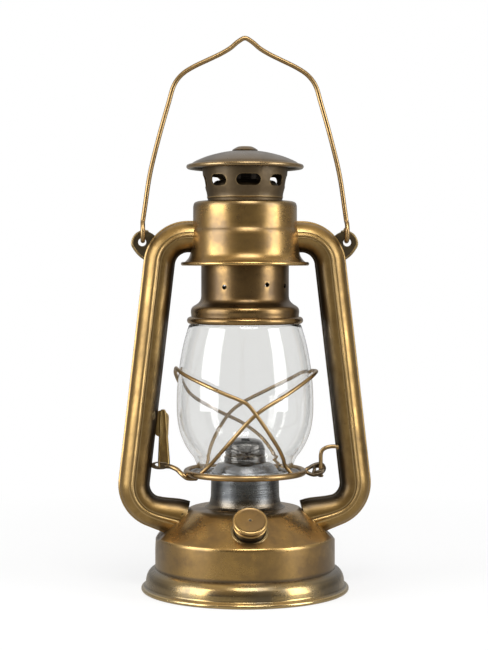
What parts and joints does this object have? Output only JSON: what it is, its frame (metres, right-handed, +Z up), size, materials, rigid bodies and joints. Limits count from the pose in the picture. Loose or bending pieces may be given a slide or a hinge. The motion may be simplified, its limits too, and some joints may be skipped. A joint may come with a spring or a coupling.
{
  "type": "oil lantern",
  "caption": "Brass oil lantern: fuel tank with side air tubes, wick burner, glass globe in wire guards, lifting chimney, screw filler cap and wire bail.",
  "frame": {"origin": "centre of the footprint, on the ground the foot stands on", "axes": "+Z up along the tank, globe and chimney; the filler cap faces -Y; the bail's hooks lie along X, and the globe lever is on the -X side"},
  "size_m": [0.1432, 0.1174, 0.3116],
  "materials": {
    "brass": "satin, aged, with patchy tarnish",
    "dark_brass": "satin, darkened brown",
    "steel": "worn, with turning lines",
    "dark_steel": "heat-darkened",
    "glass": "clear",
    "cotton": "woven",
    "rubber": "matte"
  },
  "bodies": {
    "frame": {"foot_ring": "brass", "tank_shell": "brass", "tank_bottom": "brass", "filler_neck": "brass", "burner_neck": "steel", "burner_dome": "steel", "burner_cone": "dark_steel", "wick_tube": "steel", "air_plate": "steel", "globe_guide_wire": "brass", "left_tube_front": "brass", "left_tube_back": "brass", "right_tube_front": "brass", "right_tube_back": "brass", "hood": "brass", "lever_catch": "brass", "left_ear": "brass", "right_ear": "brass", "chimney_spring": "steel"},
    "wick_raiser": {"wick_shaft": "steel", "star_wheel_front": "steel", "star_wheel_rear": "steel", "wick_knob": "brass"},
    "wick": {"wick": "cotton"},
    "lift_lever": {"lift_lever": "brass", "crank_wire": "brass"},
    "globe_carrier": {"globe_ring": "brass", "globe_plate": "steel", "guard_wire_right": "brass", "guard_wire_left": "brass", "globe": "glass"},
    "chimney": {"globe_bell": "dark_brass", "flue_tube": "dark_brass", "vent_cup": "dark_brass", "baffle": "dark_steel", "cap": "dark_brass", "cap_rivet": "brass"},
    "bail": {"bail": "brass"},
    "filler_seal": {"filler_gasket": "rubber"},
    "filler_cap": {"filler_cap": "brass"}
  },
  "joints": [
    {"name": "globe_lift", "type": "slide", "parent": "frame", "child": "globe_carrier", "axis": [0, 0, 1], "range_m": [0, 0.009], "deforming": ["chimney_spring"]},
    {"name": "lever_swing", "type": "hinge", "parent": "frame", "child": "lift_lever", "pos_m": [-0.045, 0, 0.06847], "axis": [-1, 0, 0], "range_deg": [0, 60]},
    {"name": "chimney_lift", "type": "slide", "parent": "globe_carrier", "child": "chimney", "axis": [0, 0, 1], "range_m": [0, 0.013], "stiffness_N_per_m": 150, "springref_m": -0.02, "deforming": ["chimney_spring"]},
    {"name": "wick_turn", "type": "hinge", "parent": "frame", "child": "wick_raiser", "pos_m": [0.005, 0, 0.0561], "axis": [0, 1, 0], "range_deg": [-80, 48]},
    {"name": "wick_slide", "type": "slide", "parent": "frame", "child": "wick", "axis": [0, 0, 1], "range_m": [-0.005, 0.003]},
    {"name": "filler_lift", "type": "slide", "parent": "frame", "child": "filler_seal", "axis": [0, -0.6577, 0.7533], "range_m": [0, 0.009]},
    {"name": "filler_cap_turn", "type": "hinge", "parent": "filler_seal", "child": "filler_cap", "pos_m": [0, -0.04079, 0.0403], "axis": [0, -0.6577, 0.7533], "range_deg": [0, 1080]},
    {"name": "bail_swing", "type": "hinge", "parent": "frame", "child": "bail", "pos_m": [0, 0, 0.20102], "axis": [1, 0, 0], "range_deg": [-100, 100]}
  ],
  "couplings": [
    {"joint": "lever_swing", "follows": "globe_lift", "rad_per_m": 116.3},
    {"joint": "wick_slide", "follows": "wick_turn", "m_per_rad": 0.0035},
    {"joint": "filler_cap_turn", "follows": "filler_lift", "rad_per_m": 2094.4}
  ]
}
